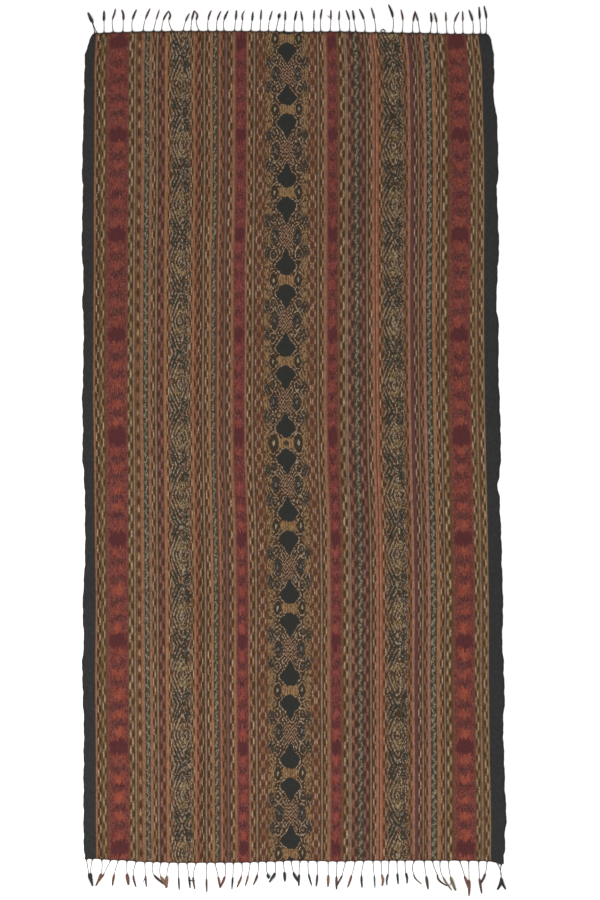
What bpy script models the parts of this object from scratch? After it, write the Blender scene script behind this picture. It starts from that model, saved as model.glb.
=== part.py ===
"""An ikat woven cloth, laid out flat: one web with its own selvedges, and a fringe at each end.

Sizes in the tables are millimetres. X runs across the cloth, Y up its length, Z off the floor.
The origin is under the middle of the whole piece, fringes and all, with the floor at Z = 0.
"""
import math
from collections import namedtuple

import bmesh
import bpy
from mathutils import Vector

MM = 0.001

CLOTH_THICKNESS = 1.6
EDGING_WIDTH = 3.2            # the twined row that locks the last weft at each end
EDGING_THICKNESS = 2.2
PART_GAP = 0.3                # between the cloth and each twined row

SELVEDGE_PITCH = 31.0         # the weft pulls the selvedge in about this often
SELVEDGE_PULL = 0.5
EDGE_STEP = 12.0              # spacing of the outline's points between two sections

# The selvedges: how far up the cloth, and where the left and right edges lie there.
Section = namedtuple("Section", "up left right")
SELVEDGES = (
    Section(1035, -506.5, 487.5),
    Section(1025, -511.5, 492.5),
    Section(1005, -517.5, 496.0),
    Section(985, -522.5, 498.5),
    Section(950, -523.5, 500.0),
    Section(883, -525.0, 498.0),
    Section(830, -526.0, 507.0),
    Section(750, -528.5, 509.5),
    Section(688, -529.5, 510.0),
    Section(645, -527.5, 506.0),
    Section(588, -529.0, 509.0),
    Section(510, -530.5, 512.0),
    Section(425, -526.0, 507.5),
    Section(365, -529.0, 505.0),
    Section(313, -525.5, 511.0),
    Section(188, -527.0, 510.5),
    Section(125, -529.5, 513.5),
    Section(50, -527.5, 516.0),
    Section(-17, -529.0, 516.5),
    Section(-62, -525.0, 513.5),
    Section(-87, -524.5, 507.5),
    Section(-117, -522.5, 513.5),
    Section(-250, -522.0, 518.5),
    Section(-400, -528.0, 522.0),
    Section(-480, -525.0, 519.5),
    Section(-535, -529.5, 523.5),
    Section(-625, -527.5, 526.0),
    Section(-680, -525.0, 522.0),
    Section(-825, -526.0, 526.0),
    Section(-925, -526.0, 530.5),
    Section(-955, -526.0, 526.5),
    Section(-1000, -525.0, 527.0),
    Section(-1020, -523.0, 523.5),
)

# The two ends: how far across the cloth, and how high the upper and lower edges lie there.
End = namedtuple("End", "across upper lower")
ENDS = (
    End(-501, 1042.5, -1023.0),
    End(-450, 1045.5, -1026.0),
    End(-360, 1048.0, -1031.0),
    End(-280, 1048.5, -1033.0),
    End(-140, 1048.5, -1032.5),
    End(-60, 1048.0, -1030.0),
    End(0, 1046.5, -1027.5),
    End(110, 1047.5, -1029.5),
    End(200, 1045.5, -1027.5),
    End(300, 1044.0, -1027.5),
    End(400, 1041.5, -1027.5),
    End(480, 1041.5, -1028.5),
    End(505, 1041.5, -1032.0),
    End(520, 1041.5, -1037.0),
)
UPPER_SPAN = (-501.0, 481.5)
LOWER_SPAN = (-523.0, 520.0)

# The fringe cords, left to right. root: where the cord leaves the twined row. lean: how far its tip
# lies to the right of that. reach: how far out the tip lies. bow: how far the middle swings right.
# form: how it ends, a knotted tuft, a long brush, a round knot or a low loop.
Cord = namedtuple("Cord", "root lean reach bow form", defaults=(0, "tuft"))
UPPER_CORDS = (
    Cord(-498.5, -18, 50), Cord(-493, -12, 46, 1), Cord(-475, 0, 53), Cord(-452, 5, 57, -4),
    Cord(-428, 0, 54, 1), Cord(-404, 10, 54, -4), Cord(-377, 17, 55, -1), Cord(-351, 14, 52, 1),
    Cord(-331, 13, 49, -1), Cord(-305, -3, 49, -7), Cord(-277, 15, 42, 0), Cord(-258, 6, 49, 0),
    Cord(-238, -2, 49, -6), Cord(-215, 8, 50, -3), Cord(-193, 10, 48, -3), Cord(-175, 10, 49, -4),
    Cord(-149, 5, 50, 1), Cord(-132, 7, 49, 1), Cord(-108, 5, 47, 1), Cord(-85, 3, 52),
    Cord(-64, 9, 50, -1), Cord(-45, 9, 43, 1, "knot"), Cord(-25, 3, 50, 1), Cord(0, 6, 51, -1),
    Cord(22, -5, 50, 1), Cord(49, 1, 52), Cord(67, 3, 55, -2), Cord(90, 2, 52, 1),
    Cord(115, -2, 50, -2), Cord(138, -8, 52, 3), Cord(154, -8, 52, -1), Cord(177, -14, 56, 3),
    Cord(204, -11, 60, 1), Cord(222, 0, 6, 0, "loop"), Cord(246, -10, 68, 5, "brush"),
    Cord(270, -3, 56, 3), Cord(296, 3, 51), Cord(314, -8, 53, -1), Cord(340, 1, 50, 3),
    Cord(358, -7, 50, 1), Cord(382, -3, 53, -1), Cord(402, 10, 53, -5), Cord(422, -1, 55),
    Cord(447, -10, 58, 3), Cord(466, -4, 66, 0, "brush"), Cord(479.5, -5, 68, 3, "brush"),
)
LOWER_CORDS = (
    Cord(-519, 9, 66, 2), Cord(-504, 1.5, 66, 1), Cord(-481, -14, 65, 4), Cord(-459, -24, 62, 1),
    Cord(-440, -14, 62, -4), Cord(-418, 4, 59, -1), Cord(-395, 0, 62, -7), Cord(-373, 3, 61),
    Cord(-352, 24, 58, -8), Cord(-333, 13, 62, -6), Cord(-312, 0, 62, -2), Cord(-290, 3, 66),
    Cord(-268, 8, 61, 2), Cord(-245, -3, 64, -6), Cord(-218, 0, 72, -1), Cord(-198, 10, 62, 4),
    Cord(-173, -10, 62, 4), Cord(-152, -3, 65), Cord(-131, -12, 60, 4), Cord(-110, -12, 57),
    Cord(-90, -12, 55, 3), Cord(-70, 4, 41, 0, "knot"), Cord(-48, -9, 50, 4), Cord(-27, 4, 49, 1),
    Cord(-7, 13, 52), Cord(15, 1, 62), Cord(35, 9, 60, -2), Cord(57, -2, 62, 2),
    Cord(85, 0, 62), Cord(107, -3, 68), Cord(128, -15, 62, 3), Cord(152, -18, 64, -1),
    Cord(174, -4, 65, -4), Cord(197, 5, 66, 1), Cord(217, 3, 62, 1), Cord(237, -5, 60),
    Cord(257, 3, 57), Cord(277, 5, 55), Cord(300, 19, 57, -9), Cord(325, 10, 70, 1),
    Cord(346, 27, 62, -4), Cord(365, 29, 73, -5), Cord(386, 18, 73, -2), Cord(414, 15, 70),
    Cord(436, 1, 85.5, 1, "brush"), Cord(461, 3, 79, 1), Cord(482, -11, 55, 6), Cord(508, 0, 66, 1),
    Cord(517.5, 11.5, 61, 0),
)

# Where along a cord its sections lie, and how wide and how thick it is there.
Girth = namedtuple("Girth", "along width height")
FORMS = {
    "tuft": (
        Girth(0.14, 2.2, 2.2), Girth(0.32, 2.2, 2.2), Girth(0.50, 2.4, 2.4), Girth(0.58, 4.4, 3.6),
        Girth(0.66, 6.0, 4.8), Girth(0.82, 5.2, 3.8), Girth(1.00, 3.0, 2.4),
    ),
    "brush": (
        Girth(0.14, 2.2, 2.2), Girth(0.32, 2.2, 2.2), Girth(0.44, 2.6, 2.4), Girth(0.54, 4.4, 3.4),
        Girth(0.66, 5.6, 4.4), Girth(0.84, 5.2, 3.6), Girth(1.00, 3.4, 2.4),
    ),
    "knot": (
        Girth(0.18, 2.2, 2.2), Girth(0.40, 2.2, 2.2), Girth(0.62, 2.6, 2.6), Girth(0.72, 7.0, 5.0),
        Girth(0.84, 9.0, 6.0), Girth(0.95, 7.0, 5.0), Girth(1.00, 3.6, 3.0),
    ),
    "loop": (Girth(0.30, 9.0, 2.4), Girth(0.70, 8.0, 2.4), Girth(1.00, 4.0, 2.0)),
}
ROOT_WIDTH = 3.0
LEAN_CURVE = 1.5              # a cord leaves the cloth square to it and leans more towards its tip

COLOURS = {
    "ikat_cloth": ((0.155, 0.062, 0.042, 1.0), 0.9),
    "fringe_top": ((0.045, 0.034, 0.027, 1.0), 0.85),
    "fringe_bottom": ((0.060, 0.032, 0.025, 1.0), 0.85),
}


def clear_scene():
    for thing in list(bpy.data.objects):
        bpy.data.objects.remove(thing, do_unlink=True)


def cotton(name):
    colour, roughness = COLOURS[name]
    material = bpy.data.materials.new(name)
    material.use_nodes = True
    shader = material.node_tree.nodes["Principled BSDF"]
    shader.inputs["Base Color"].default_value = colour
    shader.inputs["Roughness"].default_value = roughness
    shader.inputs["Metallic"].default_value = 0.0
    return material


def read_off(rows, key, column, place):
    """The value of one column of a table at a place between its rows, eased from row to row."""
    ordered = sorted(rows, key=lambda row: getattr(row, key))
    place = min(max(place, getattr(ordered[0], key)), getattr(ordered[-1], key))
    for low, high in zip(ordered, ordered[1:]):
        if place <= getattr(high, key):
            break
    share = (place - getattr(low, key)) / (getattr(high, key) - getattr(low, key))
    eased = share * share * (3.0 - 2.0 * share)
    return getattr(low, column) + (getattr(high, column) - getattr(low, column)) * eased


def upper_edge(across):
    return read_off(ENDS, "across", "upper", across)


def lower_edge(across):
    return read_off(ENDS, "across", "lower", across)


def selvedge(column, side):
    """Points up one selvedge, pulled in a little by the weft at each turn."""
    lowest = SELVEDGES[-1].up
    highest = SELVEDGES[0].up
    steps = round((highest - lowest) / EDGE_STEP)
    points = []
    for step in range(steps + 1):
        up = lowest + (highest - lowest) * step / steps
        turn = 2.0 * math.pi * up / SELVEDGE_PITCH
        pull = SELVEDGE_PULL * (math.sin(turn) + 0.6 * math.sin(1.7 * turn + side))
        points.append((read_off(SELVEDGES, "up", column, up) - side * pull, up))
    return points


def edging_stations(cords, span):
    """Where a twined row is divided across: at both ends, and at both sides of every root."""
    stations = [span[0]]
    for cord in cords:
        stations.append(cord.root - ROOT_WIDTH / 2.0)
        stations.append(cord.root + ROOT_WIDTH / 2.0)
    stations.append(span[1])
    return stations


def end_line(edge, cords, span, inset):
    """Points along one end of the cloth, left to right, beside its twined row."""
    return [(x, edge(x) + inset) for x in edging_stations(cords, span)]


def flat_piece(name, outline, thickness, collection):
    """A flat piece of cloth: a filled 2D outline that lies on the floor."""
    curve = bpy.data.curves.new(name, "CURVE")
    curve.dimensions = "2D"
    curve.fill_mode = "BOTH"
    curve.extrude = thickness * MM / 2.0
    spline = curve.splines.new("POLY")
    spline.points.add(len(outline) - 1)
    for point, (x, y) in zip(spline.points, outline):
        point.co = (x * MM, y * MM, 0.0, 1.0)
    spline.use_cyclic_u = True
    piece = bpy.data.objects.new(name, curve)
    piece.location = (0.0, 0.0, thickness * MM / 2.0)
    collection.objects.link(piece)
    curve.materials.append(cotton(name))
    return piece


def build_cloth(collection):
    """The web itself, out to its selvedges and to the twined row at each end."""
    inset = EDGING_WIDTH + PART_GAP
    top = end_line(upper_edge, UPPER_CORDS, UPPER_SPAN, -inset)
    bottom = end_line(lower_edge, LOWER_CORDS, LOWER_SPAN, inset)
    right = [point for point in selvedge("right", 1) if bottom[-1][1] < point[1] < top[-1][1]]
    left = [point for point in selvedge("left", -1) if bottom[0][1] < point[1] < top[0][1]]
    outline = bottom + right + top[::-1] + left[::-1]
    return flat_piece("ikat_cloth", outline, CLOTH_THICKNESS, collection)


def cord_place(cord, along, start, outward):
    """Where a cord's middle lies on the floor, a share of the way from its root to its tip."""
    sway = cord.lean * along ** LEAN_CURVE + cord.bow * math.sin(math.pi * along)
    return Vector((cord.root + sway, start + outward * cord.reach * along))


def cord_section(cord, girth, start, outward):
    """The four corners of one section: two on the floor and two above them."""
    step = 0.01
    here = cord_place(cord, girth.along, start, outward)
    before = cord_place(cord, max(girth.along - step, 0.0), start, outward)
    after = cord_place(cord, min(girth.along + step, 1.0), start, outward)
    run = (after - before).normalized()
    side = Vector((run.y, -run.x)) * girth.width * outward / 2.0
    low = [(here - side, 0.0), (here + side, 0.0)]
    high = [(here + side, girth.height), (here - side, girth.height)]
    return [Vector((place.x, place.y, height)) * MM for place, height in low + high]


def build_fringe(name, cords, edge, span, outward, collection):
    """The twined row as a narrow strip, with every cord drawn out of a face of its outer side."""
    mesh = bmesh.new()
    rings = []
    for x in edging_stations(cords, span):
        outer = edge(x)
        inner = outer - outward * EDGING_WIDTH
        corners = ((inner, 0.0), (outer, 0.0), (outer, EDGING_THICKNESS), (inner, EDGING_THICKNESS))
        rings.append([mesh.verts.new(Vector((x, y, z)) * MM) for y, z in corners])
    roots = []
    for number, (ring, following) in enumerate(zip(rings, rings[1:])):
        for corner in range(4):
            turn = (corner + 1) % 4
            face = mesh.faces.new((ring[corner], ring[turn], following[turn], following[corner]))
            if corner == 1 and number % 2 == 1:
                roots.append(face)
    mesh.faces.new(rings[0])
    mesh.faces.new(rings[-1][::-1])
    for cord, root in zip(cords, roots):
        draw_out(mesh, root, cord, edge(cord.root), outward)
    bmesh.ops.recalc_face_normals(mesh, faces=mesh.faces)
    data = bpy.data.meshes.new(name)
    mesh.to_mesh(data)
    mesh.free()
    data.materials.append(cotton(name))
    piece = bpy.data.objects.new(name, data)
    collection.objects.link(piece)
    return piece


def draw_out(mesh, face, cord, start, outward):
    """Extrudes a root face of the strip along its cord, section by section."""
    for girth in FORMS[cord.form]:
        face = bmesh.ops.extrude_discrete_faces(mesh, faces=[face])["faces"][0]
        corners = cord_section(cord, girth, start, outward)
        low = sorted((vert for vert in face.verts if vert.co.z < MM), key=lambda vert: vert.co.x)
        high = sorted((vert for vert in face.verts if vert.co.z >= MM), key=lambda vert: vert.co.x)
        for vert, corner in zip(low + high[::-1], corners):
            vert.co = corner


def main():
    clear_scene()
    collection = bpy.data.collections.new("ikat_woven_cloth")
    bpy.context.scene.collection.children.link(collection)
    build_cloth(collection)
    build_fringe("fringe_top", UPPER_CORDS, upper_edge, UPPER_SPAN, 1, collection)
    build_fringe("fringe_bottom", LOWER_CORDS, lower_edge, LOWER_SPAN, -1, collection)


main()
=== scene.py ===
"""The ikat woven cloth, laid out flat on a pale floor and seen from straight above.

Lengths are millimetres unless a name says metres. Across runs to the right and up runs up the
cloth, both from the middle of the whole piece.
"""

import math
import random
from collections import namedtuple

import bpy
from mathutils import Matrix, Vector, noise


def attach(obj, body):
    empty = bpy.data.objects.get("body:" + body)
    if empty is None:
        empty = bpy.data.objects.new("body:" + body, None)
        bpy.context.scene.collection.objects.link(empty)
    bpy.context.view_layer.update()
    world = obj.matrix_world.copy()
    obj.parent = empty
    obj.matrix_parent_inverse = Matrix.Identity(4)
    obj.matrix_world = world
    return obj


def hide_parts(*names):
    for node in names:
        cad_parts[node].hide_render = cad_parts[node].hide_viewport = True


MM = 0.001

# The cloth's outline and the cords' places, as the solids have them, but with the upper corners
# rounded off. The selvedges are scalloped in lies_at.

Section = namedtuple("Section", "up left right")
SELVEDGES = tuple(Section(*row) for row in (
    (1040, -502.5, 483.5), (1035, -506.5, 487.5), (1025, -511.5, 492.5), (1005, -517.5, 496.0),
    (985, -522.5, 498.5), (950, -523.5, 500.0), (883, -525.0, 498.0), (830, -526.0, 507.0),
    (750, -528.5, 509.5), (688, -529.5, 510.0), (645, -527.5, 506.0), (588, -529.0, 509.0),
    (510, -530.5, 512.0), (425, -526.0, 507.5), (365, -529.0, 505.0), (313, -525.5, 511.0),
    (188, -527.0, 510.5), (125, -529.5, 513.5), (50, -527.5, 516.0), (-17, -529.0, 516.5),
    (-62, -525.0, 513.5), (-87, -524.5, 507.5), (-117, -522.5, 513.5), (-250, -522.0, 518.5),
    (-400, -528.0, 522.0), (-480, -525.0, 519.5), (-535, -529.5, 523.5), (-625, -527.5, 526.0),
    (-680, -525.0, 522.0), (-825, -526.0, 526.0), (-925, -526.0, 530.5), (-955, -526.0, 526.5),
    (-1000, -525.0, 527.0), (-1020, -523.0, 523.5),
))
End = namedtuple("End", "across upper lower")
ENDS = tuple(End(*row) for row in (
    (-501, 1042.5, -1023.0), (-450, 1045.5, -1026.0), (-360, 1048.0, -1031.0),
    (-280, 1048.5, -1033.0), (-140, 1048.5, -1032.5), (-60, 1048.0, -1030.0), (0, 1046.5, -1027.5),
    (110, 1047.5, -1029.5), (200, 1045.5, -1027.5), (300, 1044.0, -1027.5), (400, 1041.5, -1027.5),
    (480, 1041.5, -1028.5), (505, 1041.5, -1032.0), (520, 1041.5, -1037.0),
))

# The fringe cords, left to right. root: where the cord leaves the twined row. lean: how far its tip
# lies to the right of that. reach: how far out the tip lies. bow: how far the middle swings right.
# form: how it ends, a tuft, a round knot or a low loop.

Cord = namedtuple("Cord", "root lean reach bow form", defaults=(0, "tuft"))
UPPER_CORDS = tuple(Cord(*row) for row in (
    (-498.5, -18, 50), (-493, -12, 46, 1), (-475, 0, 53), (-452, 5, 57, -4), (-428, 0, 54, 1),
    (-404, 10, 54, -4), (-377, 17, 55, -1), (-351, 14, 52, 1), (-331, 13, 49, -1),
    (-305, -3, 49, -7), (-277, 15, 42, 0), (-258, 6, 49, 0), (-238, -2, 49, -6), (-215, 8, 50, -3),
    (-193, 10, 48, -3), (-175, 10, 49, -4), (-149, 5, 50, 1), (-132, 7, 49, 1), (-108, 5, 47, 1),
    (-85, 3, 52), (-64, 9, 50, -1), (-45, 9, 43, 1, "knot"), (-25, 3, 50, 1), (0, 6, 51, -1),
    (22, -5, 50, 1), (49, 1, 52), (67, 3, 55, -2), (90, 2, 52, 1), (115, -2, 50, -2),
    (138, -8, 52, 3), (154, -8, 52, -1), (177, -14, 56, 3), (204, -11, 60, 1),
    (222, 0, 6, 0, "loop"), (246, -10, 68, 5), (270, -3, 56, 3), (296, 3, 51),
    (314, -8, 53, -1), (340, 1, 50, 3), (358, -7, 50, 1), (382, -3, 53, -1), (402, 10, 53, -5),
    (422, -1, 55), (447, -10, 58, 3), (466, -4, 66), (479.5, -5, 68, 3),
))
LOWER_CORDS = tuple(Cord(*row) for row in (
    (-519, 9, 66, 2), (-504, 1.5, 66, 1), (-481, -14, 65, 4), (-459, -24, 62, 1),
    (-440, -14, 62, -4), (-418, 4, 59, -1), (-395, 0, 62, -7), (-373, 3, 61), (-352, 24, 58, -8),
    (-333, 13, 62, -6), (-312, 0, 62, -2), (-290, 3, 66), (-268, 8, 61, 2), (-245, -3, 64, -6),
    (-218, 0, 72, -1), (-198, 10, 62, 4), (-173, -10, 62, 4), (-152, -3, 65), (-131, -12, 60, 4),
    (-110, -12, 57), (-90, -12, 55, 3), (-70, 4, 41, 0, "knot"), (-48, -9, 50, 4), (-27, 4, 49, 1),
    (-7, 13, 52), (15, 1, 62), (35, 9, 60, -2), (57, -2, 62, 2), (85, 0, 62), (107, -3, 68),
    (128, -15, 62, 3), (152, -18, 64, -1), (174, -4, 65, -4), (197, 5, 66, 1), (217, 3, 62, 1),
    (237, -5, 60), (257, 3, 57), (277, 5, 55), (300, 19, 57, -9), (325, 10, 70, 1),
    (346, 27, 62, -4), (365, 29, 73, -5), (386, 18, 73, -2), (414, 15, 70),
    (436, 1, 85.5, 1), (461, 3, 79, 1), (482, -11, 55, 6), (508, 0, 66, 1),
    (517.5, 11.5, 61, 0),
))
# How each cord's tuft of loose yarn looks, in the same order: its dye, half its width, how far its
# tip has shifted aside to meet its neighbour's, how far it bulges, any second tip, given by where it
# parts from the tuft and where it ends from there, and how far its knot is pulled aside.

Tuft = namedtuple("Tuft", "dye thick shift bulge fork pull", defaults=(0, 0, None, 0))
UPPER_TUFTS = tuple(Tuft(*row) for row in (
    ("black", 3.6, 1), ("black", 3.4, -9, 0, None, -6), ("black", 3.2), ("wine", 2.6, 0, 2),
    ("brown", 2.7, -3, 2), ("grey", 2.4), ("wine", 2.2), ("wine", 2.2), ("brown", 2.3, 4, -1),
    ("brown", 2.3, -6, 5), ("grey", 2.6), ("brown", 2.6, 2), ("brown", 2.3, -9, 6), ("wine", 2.1),
    ("brown", 2.2), ("brown", 2.8), ("grey", 2.6), ("wine", 2.4, 1, -3), ("black", 2.4),
    ("wine", 2.1), ("grey", 2.2), ("black", 4.8), ("black", 2.7), ("black", 2.6), ("black", 2.4),
    ("grey", 2.2), ("brown", 2.3), ("wine", 2.0, 0, 0, (0.1, -9, 7)), ("grey", 2.2),
    ("brown", 2.4), ("black", 2.6), ("brown", 2.6), ("grey", 2.3), ("brown", 2.4), ("black", 2.7),
    ("wine", 2.2), ("brown", 2.4, 3), ("brown", 2.4, -4), ("black", 2.7), ("brown", 2.7),
    ("wine", 2.0), ("grey", 2.3), ("wine", 2.2), ("brown", 2.5), ("black", 2.4), ("black", 2.4),
))
LOWER_TUFTS = tuple(Tuft(*row) for row in (
    ("black", 4.2, 6), ("black", 4.0, -1, 0, None, -6), ("red", 3.6),
    ("red", 3.2, -12, 0, None, -7.5), ("red", 2.7), ("red", 4.6), ("grey", 2.4),
    ("wine", 2.1, 1, 0, (0.1, -7, 14)), ("brown", 2.5, 9), ("tan", 3.2, 0, 4),
    ("tan", 4.2, -6, 0, None, -4), ("black", 2.3), ("black", 2.5, 0, 0, (0.3, 15, 2)),
    ("brown", 2.3), ("brown", 2.5), ("red", 3.0, 3), ("red", 2.8, -2), ("black", 2.5),
    ("red", 2.4, 0, 0, (0.2, -8, 10)), ("tan", 2.0), ("brown", 3.2), ("black", 5.0, 3),
    ("black", 4.0, -5), ("black", 3.8), ("black", 3.2, 6), ("black", 2.8, -4, 0, None, -3),
    ("black", 2.5), ("brown", 2.5), ("tan", 3.4), ("wine", 2.8, 2), ("wine", 2.5, -7, 0, None, -5),
    ("red", 2.5), ("black", 2.5), ("grey", 1.8), ("tan", 2.9, 0, 2), ("brown", 2.5, 0, -2),
    ("black", 2.8), ("black", 2.6, 0, 2), ("brown", 1.5, 0, -3), ("brown", 3.1),
    ("wine", 1.9, 9, -7, None, 5), ("olive", 2.6), ("olive", 3.6, 0, 0, (0.3, -8, 13)),
    ("red", 2.7, 8, 0, None, 6), ("red", 3.2), ("wine", 3.2, 5), ("wine", 2.7, -4, 0, None, -5.5),
    ("black", 3.2, 0, 1, None, 9), ("black", 3.2, 0, -1, None, -4),
))
YARNS = {
    "black": "#2e2d2e", "grey": "#56514c", "brown": "#533f34", "wine": "#5f4241", "red": "#774b3f",
    "tan": "#89634c", "olive": "#746443",
}
UPPER_SPAN = (-501.0, 481.5)      # where each twined row starts and stops
LOWER_SPAN = (-523.0, 520.0)
EDGING_WIDTH = 3.2                # of a twined row
TUCK = 2.3                        # how far inside the outline the web ends, under the twined row
LEAN_CURVE = 1.5                  # a cord leans more the further out it is

# The dyes, as sRGB.

DYES = {
    "black": "#2f3031", "dark": "#4b3421", "brown": "#5c3f2a", "rust": "#6c3d29",
    "olive": "#604b31", "plum": "#563833", "grey plum": "#6e5a4c", "red brown": "#663d2c",
    "tan": "#845f49", "warm tan": "#8a6347", "pale": "#a28a73", "grey tan": "#7e6956",
    "pink tan": "#8b6253", "green black": "#42392a", "bone": "#847762", "light tan": "#967058",
    "orange": "#854d34",
}

# The warp, left to right as it lies on the loom. A chain's first dye is its dashes and its second
# what lies between them.

Stripe = namedtuple("Stripe", "width kind dye under", defaults=("plain", "black", "dark"))
WARP = tuple(Stripe(*row) for row in (
    (25, "selvedge"), (2.25, "plain", "dark"), (4, "plain", "tan"), (10, "chain", "pale"),
    (3.25, "plain", "olive"), (9.25, "chain", "pale", "olive"), (5, "plain", "brown"),
    (53.25, "broad red"), (11.5, "chain", "pale", "olive"), (2, "plain", "dark"),
    (4.5, "plain", "grey tan"), (2, "plain", "dark"), (12.25, "beads", "warm tan", "brown"),
    (7, "plain", "tan"), (12.5, "rope", "bone", "green black"), (6.5, "plain", "tan"),
    (8.5, "chain", "pale", "brown"), (2, "plain", "dark"), (4.25, "plain", "grey tan"),
    (2.5, "plain", "dark"), (13, "chain", "pink tan", "plum"), (2, "plain", "rust"),
    (7, "plain", "warm tan"), (8, "chain", "pale", "brown"), (48, "side ikat"),
    (7.5, "chain", "pale", "brown"), (5, "plain", "warm tan"),
    (10, "chain", "pink tan", "red brown"), (7.5, "chain", "pale"), (3, "plain", "dark"),
    (4, "plain", "grey tan"), (2.25, "plain", "dark"), (9.75, "chain", "pale", "brown"),
    (6.25, "plain", "warm tan"), (11.5, "rope", "bone", "green black"), (4, "plain", "red brown"),
    (4, "plain", "pink tan"), (9, "chain", "tan", "brown"), (3.5, "plain", "plum"),
    (2.75, "plain", "grey plum"), (3.5, "plain", "plum"), (10.75, "chain", "pale", "brown"),
    (5.5, "plain", "tan"), (30, "narrow red"), (4, "plain", "tan"),
    (10.75, "chain", "pale", "brown"), (2, "plain", "dark"), (4.5, "plain", "grey tan"),
    (3.25, "plain", "dark"), (20, "lattice", "pale", "brown"), (2.5, "plain", "brown"),
    (109.25, "centre ikat"), (1.25, "plain", "brown"), (20.75, "lattice", "pale", "brown"),
    (2.75, "plain", "dark"), (4.5, "plain", "grey tan"), (3, "plain", "dark"),
    (9, "chain", "pale", "brown"), (7.25, "plain", "tan"), (29.5, "narrow red"),
    (4.25, "plain", "olive"), (13, "chain", "pale", "brown"), (2.75, "plain", "grey tan"),
    (1, "plain", "dark"), (3.75, "plain", "grey tan"), (15.25, "chain", "warm tan", "plum"),
    (14, "rope", "bone", "green black"), (14, "chain", "pink tan", "plum"),
    (3.25, "plain", "dark"), (3.5, "plain", "grey tan"), (2.75, "plain", "dark"),
    (9, "chain", "pale", "brown"), (5.5, "plain", "pink tan"), (4, "plain", "rust"),
    (3, "plain", "light tan"), (4, "plain", "orange"), (9.25, "chain", "pale", "brown"),
    (53.5, "side ikat"), (9.25, "chain", "warm tan", "brown"), (6.25, "plain", "pink tan"),
    (8.25, "plain", "plum"), (8.5, "chain", "pale", "plum"), (2, "plain", "dark"),
    (3.25, "plain", "grey tan"), (2, "plain", "dark"), (8.5, "chain", "pink tan", "brown"),
    (7, "plain", "pink tan"), (15.75, "rope", "bone", "green black"), (8.25, "plain", "warm tan"),
    (8.5, "chain", "pale", "brown"), (2, "plain", "dark"), (3, "plain", "grey tan"),
    (2, "plain", "dark"), (12.75, "chain", "pale", "olive"), (5.5, "plain", "brown"),
    (53, "broad red"), (10, "chain", "pale", "olive"), (3.5, "plain", "olive"),
    (3.5, "plain", "grey tan"), (4.5, "plain", "brown"), (10, "chain", "pale", "olive"),
    (2.75, "plain", "grey tan"), (2, "plain", "dark"), (37, "selvedge"),
))
WARP_LEFT = -529.0

# Handweaving lets the stripes wander: how far each of these nine lines stands from its place on
# the loom, at heights down the cloth.

LINES = (-504.5, -442.5, -252.5, -136.5, -22.5, 102.5, 210.0, 415.0, 476.5)
WANDER = (
    (1030, (7, 6, 5, 6, 5, -3.5, -10, -10, -16)),
    (963, (3.5, 3.5, 3.5, 6, 5, -1, -2, -5, -7.5)),
    (875, (3.5, 4, 3.5, 6, 5, 0, -2, -1.5, -5.5)),
    (750, (3.5, 4, 5, 5, 4.5, 0, -1, 1, -2)),
    (625, (2, 2.5, 4.5, 4.5, 4, 0, -2, 1, -1)),
    (475, (2, 1, 2, 1, 2.5, 0, -2, -1, -2)),
    (325, (1, 0.5, 2, 1, 2, 0, -1, -2.5, -2)),
    (125, (0, 0, 0, 0, 0, 0, 0, 0, 0)),
    (-25, (2.5, 2.5, 2, 0, 4, 1, 2, 4, 3)),
    (-175, (4, 2.5, 3.5, 7, 8, 7.5, 7, 7, 7)),
    (-375, (7, 3, 7, 9.5, 12.5, 8.5, 9, 11.5, 10)),
    (-575, (5, 4, 7, 9, 12.5, 8, 9, 9, 10)),
    (-775, (7, 6, 9, 11, 13, 9, 9, 12.5, 12.5)),
    (-925, (7, 7, 9, 12.5, 14.5, 9, 9, 12.5, 16)),
    (-1000, (8, 8, 10, 12.5, 14, 7.5, 9, 12.5, 15)),
)

# Heights at which each tied figure comes round again, top to bottom.

EYE_ROWS = (1027.5, 852.5, 645, 425, 222.5, 17.5, -190, -395, -600, -807.5, -1007.5)
BLOCK_ROWS = (1019, 789, 540, 289, 35, -222, -477, -743, -994)
DIAMOND_ROWS = (
    1060, 912.5, 762.5, 612.5, 470, 320, 165, 32.5, -112.5, -262.5, -417.5, -562.5, -712.5, -862.5,
    -1010,
)
MIDDLE_EYES = 5            # the row of eyes that is larger than the rest
MIDDLE_BLOCK = 4           # and the row of red blocks that is taller
EYE_REPEAT = 203.5
BLOCK_REPEAT = 250.0
DIAMOND_REPEAT = 150.0

# The web's own sheet.

FLAT_SIZE = (1.042, 2.078)  # metres
CLOTH_THICKNESS = 1.3
ROUGH_TOP = 1041.0         # this and the length, near enough to find where a yarn meets its ends
ROUGH_LENGTH = 2073.0
ROW_STEP = 7.5             # of its mesh, up the cloth
WIDEST_STEP = 9.0          # of its mesh, across


def read_off(rows, key, column, place):
    """The value of one column of a table at a place between its rows, eased from row to row."""
    ordered = sorted(rows, key=lambda row: getattr(row, key))
    place = min(max(place, getattr(ordered[0], key)), getattr(ordered[-1], key))
    for low, high in zip(ordered, ordered[1:]):
        if place <= getattr(high, key):
            break
    share = (place - getattr(low, key)) / (getattr(high, key) - getattr(low, key))
    eased = share * share * (3.0 - 2.0 * share)
    return getattr(low, column) + (getattr(high, column) - getattr(low, column)) * eased


def between(places, values, place):
    """The value at a place along a line of places that rise, held level past its two ends."""
    if place <= places[0]:
        return values[0]
    for number in range(1, len(places)):
        if place <= places[number]:
            share = (place - places[number - 1]) / (places[number] - places[number - 1])
            return values[number - 1] + (values[number] - values[number - 1]) * share
    return values[-1]


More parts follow.
